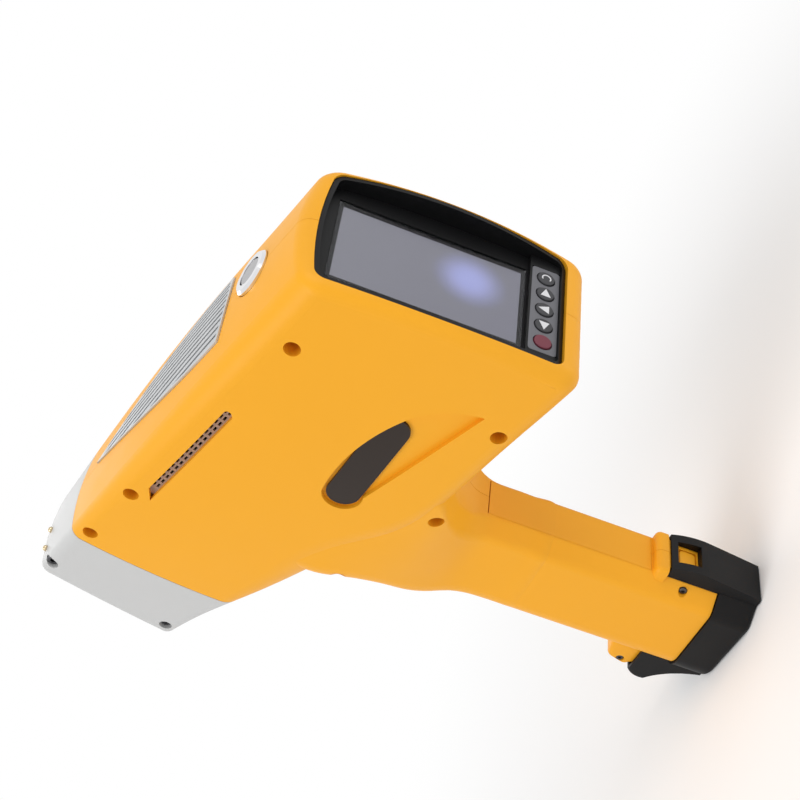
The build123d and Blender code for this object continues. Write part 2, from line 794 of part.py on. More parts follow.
def make_head_block():
    block = barrel_box(head_front_u, head_rear_u, -head_half_width, head_half_width,
                       head_low_v, head_high_v)
    block = fillet(block.edges().filter_by(Axis.Y), 2.0)
    for u, v in nose_screw_places:
        reach = (-2.0, v + 4.0) if v > window_v else (v - 4.0, v + 8.0)
        low, high = (head_high_v - 4.0, v + 3.0) if v > window_v else reach
        for side in (-1, 1):
            y = sorted((side * 6.0, side * (nose_boss_reach - 0.3)))
            block += barrel_box(u - 3.5, head_front_u + 3.0, *y, low, high)
    for side in (-1, 1):
        y = sorted((side * (head_half_width - 2.0), side * head_half_width))
        block += barrel_box(head_rear_u - 3.0, 56.0, *y, -17.0, sink_floor_v - 0.4)
    block &= barrel_form(wall + 0.3, nose_front_wall + 0.2)
    block -= aimed_rod(tube_angle, 0.0, 90.0, tube_radius + 0.1) & barrel_box(19.5, 90, -30, 30, -90, 20)
    block -= aimed_rod(tube_angle, 0.0, 40.0, 3.0)
    block -= aimed_rod(-detector_angle, 24.0, 90.0, detector_radius + 0.1)
    block -= aimed_rod(-detector_angle, 0.0, 40.0, 3.0)
    u, v = 49.2, -6.2
    block -= rod_y(row_x(u, v), row_z(u, v), -40.0, 40.0, boss_radius + 0.1)
    for u, v in nose_screw_places:
        block -= rod_y(row_x(u, v), row_z(u, v), -40.0, 40.0, screw_radius - 0.05)
    return block


def make_xray_tube():
    tube = aimed_rod(tube_angle, 24.5, 24.5 + tube_length, tube_radius)
    cap = aimed_rod(tube_angle, 24.5 + tube_length, 30.0 + tube_length, tube_radius - 3.0)
    nozzle = aimed_rod(tube_angle, 21.0, 24.5, 2.6)
    return tube + cap + nozzle


def make_detector():
    can = aimed_rod(-detector_angle, 25.0, 25.0 + detector_length, detector_radius)
    snout = aimed_rod(-detector_angle, 20.0, 25.0, 2.6)
    return can + snout


def make_preamp_board():
    start = 25.0 + detector_length + 0.05
    middle = start + board_thickness / 2.0
    place = Pos(middle * cos(radians(detector_angle)), 0,
                window_v - middle * sin(radians(detector_angle)))
    return barrel * place * Rot(0, 90.0 + detector_angle, 0) * Box(16.0, 18.0, board_thickness)


def make_filter_wheel():
    half = wheel_thickness / 2.0
    wheel = barrel_rod_u(wheel_v, wheel_offset, wheel_u - half, wheel_u + half, wheel_radius)
    wheel += barrel_rod_u(wheel_v, wheel_offset, wheel_u - half, wheel_u + half + 1.0, 3.0)
    for i in range(6):
        angle = 60.0 * i
        y = wheel_offset - wheel_offset * cos(radians(angle))
        v = wheel_v + wheel_offset * sin(radians(angle))
        wheel -= barrel_rod_u(v, y, wheel_u - 3.0, wheel_u + 3.0, 2.6)
    return wheel - barrel_rod_u(wheel_v, wheel_offset, 0, 20.0, shaft_radius + shaft_fit)


def make_filter_motor():
    body = barrel_rod_u(wheel_v, wheel_offset, nose_front_wall + 0.05, motor_rear_u, motor_radius)
    return body + barrel_rod_u(wheel_v, wheel_offset, motor_rear_u, head_front_u - 0.5, shaft_radius)


# ---- electronics -------------------------------------------------------------------------------

def make_chassis_plate():
    half = chassis_thickness / 2.0
    plate = barrel_box(chassis_front_u, chassis_rear_u, -half, half, chassis_low_v, chassis_high_v)
    for u in (110.0, 150.0):
        plate -= barrel_box(u, u + 22.0, -5, 5, -57.0, -30.0)
    for u, v in chassis_screw_places:
        plate -= rod_y(row_x(u, v), row_z(u, v), -9.0, 9.0, screw_radius)
    return plate


def make_chassis_screws():
    return Compound(children=[
        screw_along_y(row_x(u, v), row_z(u, v), -chassis_thickness / 2.0 - 0.05, 9.0,
                      screw_radius - 0.3, screw_head_radius, screw_head_height)
        for u, v in chassis_screw_places])


def make_high_voltage_supply():
    half = chassis_thickness / 2.0
    box = barrel_box(112.0, 190.0, -24.0, -half - 0.05, -60.0, -25.0)
    box = fillet(box.edges().filter_by(Axis.Y), 3.0)
    return box + barrel_rod_u(-36.0, -12.0, 102.0, 112.0, 4.0)


def make_board(u0, u1, v0, v1, side, reach, chips):
    """A board on four standoffs, with a few chips on its outer face."""
    half = chassis_thickness / 2.0
    inner = side * (half + reach)
    outer = inner + side * board_thickness
    board = barrel_box(u0, u1, *sorted((inner, outer)), v0, v1)
    for u in (u0 + 4.0, u1 - 4.0):
        for v in (v0 + 4.0, v1 - 4.0):
            board += rod_y(row_x(u, v), row_z(u, v), *sorted((side * (half + 0.05), inner)), 2.2)
    for u, v, length, height, thickness in chips:
        board += barrel_box(u, u + length, *sorted((outer, outer + side * thickness)), v, v + height)
    return board


def make_main_board():
    chips = ((100.0, -50.0, 18.0, 18.0, 2.2), (130.0, -52.0, 24.0, 20.0, 3.0),
             (164.0, -46.0, 14.0, 14.0, 1.6), (110.0, -80.0, 30.0, 9.0, 4.0),
             (152.0, -82.0, 12.0, 12.0, 1.6), (172.0, -84.0, 18.0, 6.0, 6.0))
    return make_board(89.0, 195.0, -90.0, -26.0, 1, 6.0, chips)


def make_processor_board():
    chips = ((122.0, -84.0, 16.0, 16.0, 2.4), (148.0, -84.0, 12.0, 14.0, 1.6),
             (168.0, -82.0, 20.0, 8.0, 4.0))
    return make_board(112.0, 195.0, -90.0, -64.0, -1, 4.0, chips)


def make_beeper():
    y = chassis_thickness / 2.0 + 6.0 + board_thickness
    x, z = row_x(186.0, -60.0), row_z(186.0, -60.0)
    return rod_y(x, z, y + 0.02, y + 6.0, 6.0) - rod_y(x, z, y + 4.5, y + 7.0, 1.2)


def make_heat_bridge():
    block = barrel_box(115.0, 170.0, -8.0, 8.0, chassis_high_v + 0.05, sink_floor_v - 1.0)
    for y in (-5.0, 0.0, 5.0):
        block -= barrel_box(105.0, 185.0, y - 1.2, y + 1.2, chassis_high_v + 4.0, sink_floor_v - 4.0)
    return block


def make_thermal_pad():
    return barrel_box(116.0, 169.0, -7.5, 7.5, sink_floor_v - 0.98, sink_floor_v - 0.02)


# ---- top ---------------------------------------------------------------------------------------

def make_heat_sink():
    sink = barrel_prism_v(sink_face(0), sink_floor_v, 40.0) & barrel_form(-sink_proud)
    sink += barrel_prism_v(sink_face(sink_flange), sink_floor_v, 40.0) & barrel_form(wall + part_gap)
    grooves = None
    count = int(2.0 * (sink_half_width - fin_rim) / fin_pitch)
    for i in range(count):
        y = (i - (count - 1) / 2.0) * fin_pitch
        groove = barrel_box(0, 300, y - fin_groove / 2.0, y + fin_groove / 2.0, 0, 40.0)
        grooves = groove if grooves is None else grooves + groove
    grooves &= barrel_prism_v(sink_face(-fin_rim), -5.0, 40.0)
    return sink - (grooves - barrel_form(fin_groove_depth - sink_proud))


def make_power_ring():
    seat = crown_top(button_u) - button_seat
    top = crown_top(button_u) + button_ring_proud
    ring = barrel_rod_v(button_u, 0, seat, top, button_ring_radius)
    up = Axis((0, 0, 0), (sin(tilt), 0, cos(tilt)))
    ring = chamfer(ring.edges().sort_by(up)[-1], 1.2)
    ring += barrel_rod_v(button_u, 0, button_body_low_v, seat + 0.5, button_body_radius)
    for y in (-3.0, 3.0):
        ring += barrel_box(button_u - 1.2, button_u + 1.2, y - 0.4, y + 0.4,
                           button_body_low_v - 5.0, button_body_low_v + 0.5)
    bore = button_cap_height + button_travel + 0.6
    return ring - barrel_rod_v(button_u, 0, top - bore, top + 5.0, button_cap_radius + slide_gap)


def make_power_cap():
    top = crown_top(button_u) + button_ring_proud - 0.2
    cap = barrel_rod_v(button_u, 0, top - button_cap_height, top, button_cap_radius)
    up = Axis((0, 0, 0), (sin(tilt), 0, cos(tilt)))
    return fillet(cap.edges().sort_by(up)[-1], 0.6)


def make_power_nut():
    top = crown_top(button_u) - wall - 0.5
    nut = barrel * Pos(button_u, 0, top - button_nut_height) * extrude(
        RegularPolygon(button_nut_radius, 6), button_nut_height)
    return nut - barrel_rod_v(button_u, 0, -30.0, 30.0, button_body_radius + 0.05)


# ---- sides -------------------------------------------------------------------------------------

def make_vent_mesh(forms, side):
    y = sorted((side * 25.0, side * 60.0))
    strip = barrel_box(vent_front_u + 2.2, vent_rear_u + vent_mesh_margin, *y,
                       vent_low_v - vent_mesh_margin, vent_high_v + 2.4)
    strip &= forms["mesh_outer"] - forms["mesh_inner"]
    for i in range(17):
        u = vent_front_u + 8.0 + 4.2 * i
        strip -= barrel_box(u, u + 2.6, *y, vent_low_v + 0.7, vent_low_v + 1.9)
        strip -= barrel_box(u, u + 2.6, *y, vent_high_v - 1.9, vent_high_v - 0.7)
    return strip


def make_badge(forms, side):
    face = badge_face() & offset(scoop_face(), -part_gap)
    prism = barrel * extruded_y(face, *sorted((side * 20.0, side * 60.0)))
    return prism & (forms["badge_top"] - forms["badge_foot"])


# ---- screen and keys ---------------------------------------------------------------------------

def key_places():
    return [key_first_y + key_pitch * i for i in range(5)]


def make_bezel(forms):
    tub = extruded_x(opening_face(-part_gap), bezel_front_x, rear_mid_x + 5.0) & forms["bezel_limit"]
    tub += extruded_x(opening_face(2.6), bezel_floor_x, rear_mid_x) & (
        forms["flange_back"] - forms["rib_back"]) & forms["mesh_inner"]
    inside = opening_face(-part_gap - bezel_rim)
    step = row_box(glass_seat_x - 0.5, keypad_seat_x, -rear_half_width, rear_half_width,
                   opening_low_z, keypad_high_z + 1.0)
    tub -= extruded_x(inside, glass_seat_x, rear_mid_x + 10.0) - step
    tub -= extruded_x(inside, bezel_front_x - 5.0, bezel_floor_x)
    tub -= row_box(glass_seat_x - glass_thickness - 0.05, 160.0, -glass_half_width - 0.15,
                   glass_half_width + 0.15, glass_low_z - 0.15, glass_high_z + 0.15)
    tub -= row_box(120.0, 160.0, -screen_half_width - 0.2, screen_half_width + 0.2,
                   screen_low_z - 0.2, screen_high_z + 0.2)
    tub -= row_box(keypad_seat_x - keypad_thickness - 0.05, 160.0, -keypad_half_width - 0.15,
                   keypad_half_width + 0.15, keypad_low_z - 0.15, keypad_high_z + 0.15)
    tub -= row_box(120.0, 160.0, 1.0 - keypad_half_width, keypad_half_width - 1.0,
                   keypad_low_z + 1.2, keypad_high_z - 1.2)
    for y, z in display_screw_places:
        tub += rod_x(y, z, display_board_x + board_thickness + 0.05, bezel_floor_x + 0.2, 1.9)
        tub -= rod_x(y, z, display_board_x, bezel_floor_x + 1.0, small_screw_radius - 0.05)
    return tub


def make_glass():
    pane = row_box(glass_seat_x - glass_thickness, glass_seat_x, -glass_half_width,
                   glass_half_width, glass_low_z, glass_high_z)
    return fillet(pane.edges().filter_by(Axis.X), 1.5)


def make_lcd():
    rear = glass_seat_x - glass_thickness - 0.1
    return row_box(rear - lcd_thickness, rear, -screen_half_width, screen_half_width,
                   screen_low_z, screen_high_z)


def make_display_board():
    board = row_box(display_board_x, display_board_x + board_thickness, -30.5, 30.5, 159.5, 256.0)
    board = fillet(board.edges().filter_by(Axis.X), 4.0)
    board += row_box(display_board_x - 3.5, display_board_x, -12.0, 12.0, 196.0, 202.0)
    board += row_box(display_board_x - 1.6, display_board_x, -16.0, -2.0, 218.0, 232.0)
    board += row_box(display_board_x - 1.2, display_board_x, 6.0, 15.0, 220.0, 229.0)
    for y, z in display_screw_places:
        board -= rod_x(y, z, display_board_x - 5.0, 140.0, small_screw_radius + 0.1)
    return board


def make_display_screws():
    screws = []
    for y, z in display_screw_places:
        head = rod_x(y, z, display_board_x - small_head_height, display_board_x - 0.02,
                     small_head_radius)
        shank = rod_x(y, z, display_board_x - 0.5, bezel_floor_x + 0.9, small_screw_radius - 0.05)
        screws.append(head + shank)
    return Compound(children=screws)


def make_key_switches():
    front = display_board_x + board_thickness
    switches = []
    for y in key_places():
        body = row_box(front + 0.02, switch_top_x - 0.5, y - 3.0, y + 3.0, key_z - 3.0, key_z + 3.0)
        switches.append(body + rod_x(y, key_z, switch_top_x - 0.6, switch_top_x, 1.6))
    return Compound(children=switches)


def make_keypad_plate():
    plate = row_box(keypad_seat_x - keypad_thickness, keypad_seat_x, -keypad_half_width,
                    keypad_half_width, keypad_low_z, keypad_high_z)
    plate = fillet(plate.edges().filter_by(Axis.X), 1.5)
    for y in key_places():
        plate -= rod_x(y, key_z, key_foot_x, keypad_seat_x + 5.0, key_radius + slide_gap)
    return plate


def make_key(index):
    y = key_places()[index]
    cap = rod_x(y, key_z, key_foot_x, keypad_seat_x + key_proud, key_radius)
    cap = fillet(cap.edges().sort_by(Axis.X)[-1], 0.5)
    flange_rear = keypad_seat_x - keypad_thickness - part_gap
    return cap + rod_x(y, key_z, flange_rear - key_flange_thickness, flange_rear,
                       key_radius + key_flange)


# ---- trigger -----------------------------------------------------------------------------------

def make_trigger():
    outline = [
        Spline((-28.0, 182.4), (-29.6, 172.0), (-31.0, 162.0), (trigger_tip_x, trigger_low_z + 1.6)),
        ThreePointArc((trigger_tip_x, trigger_low_z + 1.6), (-35.2, trigger_low_z),
                      (-33.5, trigger_low_z - 0.6)),
        Spline((-33.5, trigger_low_z - 0.6), (-28.5, 150.8), (-22.5, 155.0)),
        Line((-22.5, 155.0), (-20.6, 168.0)),
        Line((-20.6, 168.0), (-16.0, 176.0)),
        Line((-16.0, 176.0), (-12.0, 182.4)),
        Line((-12.0, 182.4), (-28.0, 182.4)),
    ]
    blade = extruded_y(make_face(Wire(outline)), -trigger_half_width, trigger_half_width)
    rounded = [e for e in blade.edges() if abs(abs(e.center().Y) - trigger_half_width) < 0.01
               and e.center().X < -27.0]
    blade = fillet(rounded, 1.2)
    blade += rod_y(trigger_pivot_x, trigger_pivot_z, -trigger_half_width, trigger_half_width, 4.6)
    return blade - rod_y(trigger_pivot_x, trigger_pivot_z, -20, 20,
                         trigger_pin_radius + trigger_pin_fit)


def make_trigger_pin():
    pin = rod_y(trigger_pivot_x, trigger_pivot_z, -trigger_pin_half_length,
                trigger_pin_half_length, trigger_pin_radius)
    return chamfer(pin.edges().filter_by(GeomType.CIRCLE), 0.3)


def coil(start, length, turns, radius, wire):
    """Open helix along X from the start point."""
    path = Helix(length / turns, length, radius)
    ring = Plane(origin=path @ 0, z_dir=path % 0) * Circle(wire)
    return Pos(*start) * Rot(0, 90, 0) * sweep(ring, path=path)


def make_trigger_spring():
    start = -17.4
    return coil((start, 0, spring_z), switch_wall_x - 0.4 - start, 6, 2.4, 0.3)


def make_trigger_switch():
    body = row_box(switch_front_x, switch_wall_x - 0.05, -3.2, 3.2, 149.0, 162.0)
    return body + rod_x(0, 156.0, switch_front_x - 3.6, switch_front_x, 1.2)


# ---- battery -----------------------------------------------------------------------------------

def make_boot(forms):
    skin = forms["grip_boot"] & skirt_space(-slide_gap)
    skin = fillet(skin.edges().group_by(Axis.Z)[0], boot_edge_round)
    skin -= forms["grip_boot_inside"] & row_box(-80, 80, -80, 80, boot_floor, 60)
    hook = extruded_y(make_face(Wire([
        Spline((-28.4, 0.6), (-32.0, 10.0), (-38.0, 19.0), (hook_front_x, hook_bulge_z)),
        Spline((hook_front_x, hook_bulge_z), (-44.4, 30.0), (-41.5, hook_top_z)),
        Line((-41.5, hook_top_z), (-20.0, hook_top_z)),
        Line((-20.0, hook_top_z), (-20.0, 0.6)),
        Line((-20.0, 0.6), (-28.4, 0.6))])), -hook_half_width, hook_half_width)
    hook = fillet(hook.edges().filter_by(Axis.Z) + [
        e for e in hook.edges() if abs(abs(e.center().Y) - hook_half_width) < 0.01
        and e.center().X < -40.0], 1.5)
    tongue = extruded_y(make_face(Wire([
        Spline((31.8, 0.6), (33.5, 15.0), (tongue_rear_x, tongue_bulge_z)),
        Spline((tongue_rear_x, tongue_bulge_z), (34.8, 40.0), (32.6, tongue_top_z)),
        Line((32.6, tongue_top_z), (20.0, tongue_top_z)),
        Line((20.0, tongue_top_z), (20.0, 0.6)),
        Line((20.0, 0.6), (31.8, 0.6))])), -tongue_half_width, tongue_half_width)
    tongue -= row_box(0, pad_rear_x + slide_gap, -pad_half_width - slide_gap,
                      pad_half_width + slide_gap, pad_low_z - slide_gap, 60)
    tongue -= row_box(0, 60, -window_half_width, window_half_width, window_low_z, window_high_z)
    outside = forms["grip_clear"] + (
        forms["grip_boot_inside"] & row_box(-80, 80, -80, 80, boot_floor, 60))
    hook -= extruded_y(offset(toe_face(), slide_gap), -toe_half_width - slide_gap,
                       toe_half_width + slide_gap)
    return skin + (hook - outside) + (tongue - outside)


def make_battery_case():
    case = row_box(pack_front_x, pack_rear_x, -pack_half_width, pack_half_width,
                   boot_floor + 0.05, pack_top_z)
    case = fillet(case.edges().filter_by(Axis.Z), 3.0)
    hollow = row_box(pack_front_x + pack_wall, pack_rear_x - pack_wall,
                     pack_wall - pack_half_width, pack_half_width - pack_wall,
                     boot_floor + pack_wall, pack_top_z - pack_wall)
    return case - hollow


def make_battery_cells():
    middle = (pack_front_x + pack_rear_x) / 2.0
    low = boot_floor + pack_wall + 0.1
    cells = []
    for side in (-1, 1):
        x = middle + side * cell_pitch / 2.0
        cell = rod_z(x, 0, low, low + cell_length, cell_radius)
        cells.append(cell + rod_z(x, 0, low + cell_length, low + cell_length + 1.0, 3.0))
    board = row_box(pack_front_x + 2.0, pack_rear_x - 2.0, -9.0, 9.0,
                    low + cell_length + 1.2, low + cell_length + 2.8)
    return Compound(children=[*cells, board])


def contact_places():
    return [(-12.0 + 8.0 * i, 0.0) for i in range(4)]


def make_battery_contacts():
    return Compound(children=[
        row_box(x - 2.6, x + 2.6, y - 4.0, y + 4.0, pack_top_z + 0.02, pack_top_z + 0.6)
        for x, y in contact_places()])


def make_contact_block(forms):
    low = pack_top_z + contact_gap
    block = forms["bay"] & row_box(-60, strip_front_x - 2.1, -60, 60, low,
                                   low + contact_block_height)
    for x, y in contact_places():
        block += rod_z(x, y, pack_top_z + 0.6 + slide_gap, low + 1.0, 0.9)
    return block


def make_release_button():
    low = release_low_z
    high = release_low_z + release_height
    rear = pad_rear_x - 0.1
    button = row_box(rear - release_depth, rear, -release_half_width, release_half_width, low, high)
    button = fillet(button.edges().filter_by(Axis.X), 2.0)
    button = fillet(button.edges().group_by(Axis.X)[-1], 0.5)
    front = grip_rear_x - wall - slide_gap
    flange = row_box(front - 1.3, front, -release_half_width - 1.2, release_half_width + 1.2,
                     low - 1.2, high + 1.2)
    return button + flange + row_box(front - 0.5, rear - 2.0, -3.4, 3.4, low + 1.2, high - 1.2)


def make_release_spring():
    start = pack_rear_x + 0.7
    front = grip_rear_x - wall - slide_gap - 1.3
    return coil((start, 0, release_low_z + release_height / 2.0), front - 0.4 - start, 3, 2.2, 0.25)


# ---- everything --------------------------------------------------------------------------------

def make_forms():
    body = barrel_form() & rear_limit(rounded=False)
    body = fillet(body.faces().sort_by(Axis.X)[-1].edges(), edge_round_rear)
    nose_face = body.faces().sort_by(Axis((nose_top_x, 0, nose_top_z), (cos(tilt), 0, -sin(tilt))))[0]
    body = fillet(nose_face.edges(), edge_round_nose)
    outer = body + grip_form()
    return {
        "solid": outer,
        "outer_nose": outer & seam_side(-part_gap / 2.0, False),
        "hollow": (barrel_form(wall, nose_front_wall) & rear_limit(wall)) + grip_form(wall),
        "wall": body,
        "pad": barrel_form(scoop_depth + wall, 0.0) & rear_limit(scoop_depth + wall),
        "scoop_floor": barrel_form(scoop_depth),
        "badge_top": barrel_form(scoop_depth - badge_thickness),
        "badge_foot": barrel_form(scoop_depth - 0.04),
        "mesh_outer": barrel_form(wall + 0.08),
        "mesh_inner": barrel_form(wall + 0.08 + vent_mesh_thickness),
        "bezel_limit": rear_limit(bezel_sunk),
        "flange_back": rear_limit(wall + 0.15),
        "rib_back": rear_limit(wall + 2.2),
        "rib_front": rear_limit(wall + 4.0),
        "grip_boot": extrude(grip_section(0.0, -boot_proud), 60.0),
        "grip_boot_inside": extrude(grip_section(0.0, boot_wall - boot_proud), 60.0),
        "grip_clear": Pos(0, 0, grip_skirt_front_z - 12.0) * extrude(
            grip_section(0.0, -slide_gap), 80.0) - skirt_space(-slide_gap),
        "bay": extrude(grip_section(0.0, wall + 0.1), 120.0),
    }


def main():
    forms = make_forms()
    left, right = split_housing(make_housing(forms))
    strip = row_box(strip_front_x, grip_rear_x + 5.0, -strip_half_width, strip_half_width,
                    strip_low_z, strip_high_z) & forms["solid"]
    pieces = {
        "left_housing": left,
        "right_housing": right,
        "grip_strip": strip,
        "housing_screws": make_housing_screws(),
        "latch_screws": make_latch_screws(),
        "nose_cap": make_nose_cap(forms),
        "window_plate": make_window_plate(),
        "window_film": barrel_rod_u(window_v, 0, plate_thickness - film_thickness,
                                    plate_thickness, film_radius),
        "plate_screws": make_plate_screws(),
        "nose_screws": make_nose_screws(),
        "dock_pins": make_dock_pins(),
        "head_block": make_head_block(),
        "xray_tube": make_xray_tube(),
        "detector": make_detector(),
        "preamp_board": make_preamp_board(),
        "filter_wheel": make_filter_wheel(),
        "filter_motor": make_filter_motor(),
        "chassis_plate": make_chassis_plate(),
        "chassis_screws": make_chassis_screws(),
        "high_voltage_supply": make_high_voltage_supply(),
        "main_board": make_main_board(),
        "processor_board": make_processor_board(),
        "beeper": make_beeper(),
        "heat_bridge": make_heat_bridge(),
        "thermal_pad": make_thermal_pad(),
        "heat_sink": make_heat_sink(),
        "power_ring": make_power_ring(),
        "power_cap": make_power_cap(),
        "power_nut": make_power_nut(),
        "left_vent_mesh": make_vent_mesh(forms, -1),
        "right_vent_mesh": make_vent_mesh(forms, 1),
        "left_badge": make_badge(forms, -1),
        "right_badge": make_badge(forms, 1),
        "display_bezel": make_bezel(forms),
        "display_glass": make_glass(),
        "lcd_panel": make_lcd(),
        "display_board": make_display_board(),
        "display_screws": make_display_screws(),
        "key_switches": make_key_switches(),
        "keypad_plate": make_keypad_plate(),
        "red_key": make_key(0),
        "left_key": make_key(1),
        "up_key": make_key(2),
        "right_key": make_key(3),
        "return_key": make_key(4),
        "trigger": make_trigger(),
        "trigger_pin": make_trigger_pin(),
        "trigger_spring": make_trigger_spring(),
        "trigger_switch": make_trigger_switch(),
        "battery_boot": make_boot(forms),
        "battery_case": make_battery_case(),
        "battery_cells": make_battery_cells(),
        "battery_contacts": make_battery_contacts(),
        "contact_block": make_contact_block(forms),
        "release_button": make_release_button(),
        "release_spring": make_release_spring(),
    }
    os.makedirs("parts", exist_ok=True)
    for name, shape in pieces.items():
        export_step(shape, os.path.join("parts", name + ".step"))
        print(name, round(shape.volume, 1))


main()
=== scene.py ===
import json
import math

import bpy
import numpy as np
from mathutils import Matrix, Vector

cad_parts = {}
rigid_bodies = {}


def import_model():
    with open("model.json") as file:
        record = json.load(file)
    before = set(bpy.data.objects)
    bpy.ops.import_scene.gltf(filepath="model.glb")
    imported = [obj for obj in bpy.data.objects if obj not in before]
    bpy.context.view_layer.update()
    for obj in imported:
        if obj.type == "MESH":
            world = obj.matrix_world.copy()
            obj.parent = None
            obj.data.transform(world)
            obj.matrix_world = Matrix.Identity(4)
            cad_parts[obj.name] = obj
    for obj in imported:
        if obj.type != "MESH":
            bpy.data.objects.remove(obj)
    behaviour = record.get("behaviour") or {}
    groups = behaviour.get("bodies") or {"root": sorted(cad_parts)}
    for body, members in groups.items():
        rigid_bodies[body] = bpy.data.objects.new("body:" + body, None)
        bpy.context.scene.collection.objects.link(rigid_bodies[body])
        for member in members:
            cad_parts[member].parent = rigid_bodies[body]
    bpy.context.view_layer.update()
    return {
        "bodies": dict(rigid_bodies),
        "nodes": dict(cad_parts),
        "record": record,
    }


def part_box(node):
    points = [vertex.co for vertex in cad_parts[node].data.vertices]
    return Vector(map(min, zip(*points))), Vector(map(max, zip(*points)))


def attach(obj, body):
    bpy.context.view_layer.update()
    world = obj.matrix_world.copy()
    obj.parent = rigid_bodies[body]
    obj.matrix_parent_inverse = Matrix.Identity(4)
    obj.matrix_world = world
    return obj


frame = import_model()
nodes = frame["nodes"]
scene = bpy.context.scene


def newGroup(name, inputs, outputs):
    # An empty shader node group with float or colour sockets: (name, kind, default).
    group = bpy.data.node_groups.new(name, "ShaderNodeTree")
    for socketName, kind, value in inputs:
        item = group.interface.new_socket(socketName, in_out="INPUT", socket_type="NodeSocket" + kind)
        item.default_value = value
    for socketName, kind in outputs:
        group.interface.new_socket(socketName, in_out="OUTPUT", socket_type="NodeSocket" + kind)
    return group, group.nodes.new("NodeGroupInput"), group.nodes.new("NodeGroupOutput")


def noiseNode(tree, vector, detail, roughness=0.55):
    noise = tree.nodes.new("ShaderNodeTexNoise")
    noise.inputs["Detail"].default_value = detail
    noise.inputs["Roughness"].default_value = roughness
    tree.links.new(vector, noise.inputs["Vector"])
    return noise


def remap(tree, value, low, high):
    # Stretches 0.3 to 0.7 of a noise to low to high, which may be sockets or numbers.
    node = tree.nodes.new("ShaderNodeMapRange")
    node.inputs["From Min"].default_value = 0.3
    node.inputs["From Max"].default_value = 0.7
    tree.links.new(value, node.inputs["Value"])
    for key, bound in (("To Min", low), ("To Max", high)):
        if isinstance(bound, (int, float)):
            node.inputs[key].default_value = bound
        else:
            tree.links.new(bound, node.inputs[key])
    return node.outputs["Result"]


def mathNode(tree, operation, a, b):
    node = tree.nodes.new("ShaderNodeMath")
    node.operation = operation
    for index, value in enumerate((a, b)):
        if isinstance(value, (int, float)):
            node.inputs[index].default_value = value
        else:
            tree.links.new(value, node.inputs[index])
    return node.outputs[0]


def mixColour(tree, factor, a, b):
    node = tree.nodes.new("ShaderNodeMix")
    node.data_type = "RGBA"
    for key, value in ((0, factor), (6, a), (7, b)):
        if isinstance(value, (int, float, tuple)):
            node.inputs[key].default_value = value
        else:
            tree.links.new(value, node.inputs[key])
    return node.outputs[2]


def buildMouldedGrain():
    # Fine spark-eroded grain and slow tone drift of moulded plastic, on Object coordinates.
    group, inp, out = newGroup(
        "mouldedGrain",
        [("Colour", "Color", (0.8, 0.8, 0.8, 1)), ("Drift", "Float", 0.04), ("Grain Size", "Float", 900.0),
         ("Roughness", "Float", 0.45), ("Spread", "Float", 0.08)],
        [("Colour", "Color"), ("Roughness", "Float"), ("Height", "Float")])
    coords = group.nodes.new("ShaderNodeTexCoord").outputs["Object"]
    fine = noiseNode(group, coords, 3.0)
    group.links.new(inp.outputs["Grain Size"], fine.inputs["Scale"])
    slow = noiseNode(group, coords, 2.0)
    slow.inputs["Scale"].default_value = 14.0
    smudge = noiseNode(group, coords, 4.0, 0.65)
    smudge.inputs["Scale"].default_value = 55.0
    dark = group.nodes.new("ShaderNodeHueSaturation")
    dark.inputs["Value"].default_value = 0.72
    group.links.new(inp.outputs["Colour"], dark.inputs["Color"])
    amount = mathNode(group, "MULTIPLY", remap(group, slow.outputs["Fac"], 0.0, 1.0), inp.outputs["Drift"])
    tone = mixColour(group, amount, inp.outputs["Colour"], dark.outputs["Color"])
    centred = mathNode(group, "SUBTRACT", smudge.outputs["Fac"], 0.5)
    rough = mathNode(group, "ADD", inp.outputs["Roughness"],
                     mathNode(group, "MULTIPLY", centred, inp.outputs["Spread"]))
    group.links.new(tone, out.inputs["Colour"])
    group.links.new(rough, out.inputs["Roughness"])
    group.links.new(fine.outputs["Fac"], out.inputs["Height"])
    return group


def buildMetalMarks():
    # Lay lines stretched along one axis, and slow cloudiness, for machined and brushed metal.
    group, inp, out = newGroup(
        "metalMarks",
        [("Colour", "Color", (0.6, 0.6, 0.6, 1)), ("Line Stretch", "Vector", (20.0, 900.0, 900.0)),
         ("Roughness", "Float", 0.3), ("Spread", "Float", 0.15)],
        [("Colour", "Color"), ("Roughness", "Float"), ("Height", "Float")])
    coords = group.nodes.new("ShaderNodeTexCoord").outputs["Object"]
    stretch = group.nodes.new("ShaderNodeVectorMath")
    stretch.operation = "MULTIPLY"
    group.links.new(coords, stretch.inputs[0])
    group.links.new(inp.outputs["Line Stretch"], stretch.inputs[1])
    lines = noiseNode(group, stretch.outputs[0], 2.0)
    lines.inputs["Scale"].default_value = 1.0
    cloud = noiseNode(group, coords, 3.0)
    cloud.inputs["Scale"].default_value = 60.0
    dark = group.nodes.new("ShaderNodeHueSaturation")
    dark.inputs["Value"].default_value = 0.78
    group.links.new(inp.outputs["Colour"], dark.inputs["Color"])
    tone = mixColour(group, remap(group, cloud.outputs["Fac"], 0.0, 0.5), inp.outputs["Colour"],
                     dark.outputs["Color"])
    centred = mathNode(group, "SUBTRACT", lines.outputs["Fac"], 0.5)
    rough = mathNode(group, "ADD", inp.outputs["Roughness"],
                     mathNode(group, "MULTIPLY", centred, inp.outputs["Spread"]))
    group.links.new(tone, out.inputs["Colour"])
    group.links.new(rough, out.inputs["Roughness"])
    group.links.new(lines.outputs["Fac"], out.inputs["Height"])
    return group


mouldedGrain = buildMouldedGrain()
metalMarks = buildMetalMarks()


def startMaterial(name):
    material = bpy.data.materials.new(name)
    material.use_nodes = True
    tree = material.node_tree
    return material, tree, tree.nodes["Principled BSDF"]


